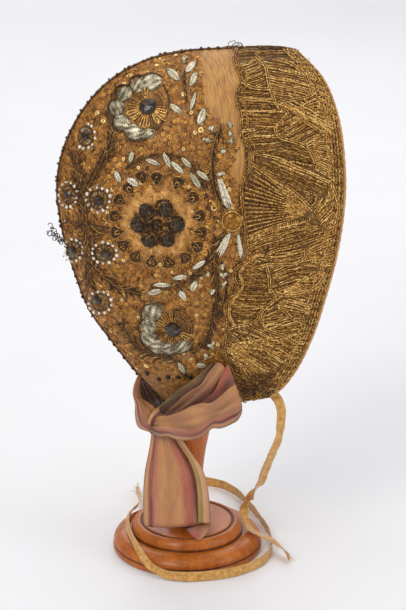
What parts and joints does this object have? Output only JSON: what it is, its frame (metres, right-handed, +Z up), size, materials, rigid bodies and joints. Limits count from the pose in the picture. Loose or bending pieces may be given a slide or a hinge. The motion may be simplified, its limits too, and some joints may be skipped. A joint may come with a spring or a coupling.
{
  "type": "embroidered coif on a turned wooden stand",
  "caption": "Embroidered silk coif with a gold lace brim, mounted stones, a striped ribbon bow at the nape and silk tape ties, held up on a turned wooden stand.",
  "frame": {"origin": "middle of the stand's foot, on the surface it stands on", "axes": "+Z up along the stand's post; +X towards the coif's face opening; +Y towards the wearer's left"},
  "size_m": [0.1773, 0.1671, 0.3512],
  "materials": {
    "embroidered_silk": "silk densely worked with metal thread and spangles",
    "gold_lace": "tarnished gold thread lace",
    "dark_gimp": "dark tarnished gimp",
    "silk_piping": "golden silk cord",
    "glass_stone": "dark faceted glass, glossy",
    "dark_foil": "tarnished hammered foil",
    "gold_button": "gold wire over a dome, tarnished",
    "striped_ribbon": "striped silk ribbon, ribbed",
    "silk_tape": "yellow silk tape",
    "turned_wood": "varnished turned wood, glossy"
  },
  "bodies": {
    "root": {"brim": "gold_lace", "centre_braid": "dark_gimp", "crown_left": "embroidered_silk", "crown_right": "embroidered_silk", "face_piping": "silk_piping", "flower_stone_lower_left": "glass_stone", "flower_stone_lower_right": "glass_stone", "flower_stone_upper_left": "glass_stone", "flower_stone_upper_right": "glass_stone", "gold_button_left": "gold_button", "gold_button_right": "gold_button", "ribbon_back_loop": "striped_ribbon", "ribbon_front_loop": "striped_ribbon", "ribbon_knot": "striped_ribbon", "ribbon_tail": "striped_ribbon", "ribbon_tail_fold": "striped_ribbon", "rosette_centre_left": "dark_foil", "rosette_centre_right": "dark_foil", "rosette_foil_1_left": "dark_foil", "rosette_foil_1_right": "dark_foil", "rosette_foil_2_left": "dark_foil", "rosette_foil_2_right": "dark_foil", "rosette_foil_3_left": "dark_foil", "rosette_foil_3_right": "dark_foil", "rosette_foil_4_left": "dark_foil", "rosette_foil_4_right": "dark_foil", "rosette_foil_5_left": "dark_foil", "rosette_foil_5_right": "dark_foil", "rosette_foil_6_left": "dark_foil", "rosette_foil_6_right": "dark_foil", "small_stone_1_left": "glass_stone", "small_stone_1_right": "glass_stone", "small_stone_2_left": "glass_stone", "small_stone_2_right": "glass_stone", "small_stone_3_left": "glass_stone", "small_stone_3_right": "glass_stone", "small_stone_4_left": "glass_stone", "small_stone_4_right": "glass_stone", "small_stone_5_left": "glass_stone", "small_stone_5_right": "glass_stone", "small_stone_6_left": "glass_stone", "small_stone_6_right": "glass_stone", "stand_base": "turned_wood", "stand_head": "turned_wood", "stand_post": "turned_wood", "tie_left": "silk_tape", "tie_right": "silk_tape"}
  },
  "joints": []
}
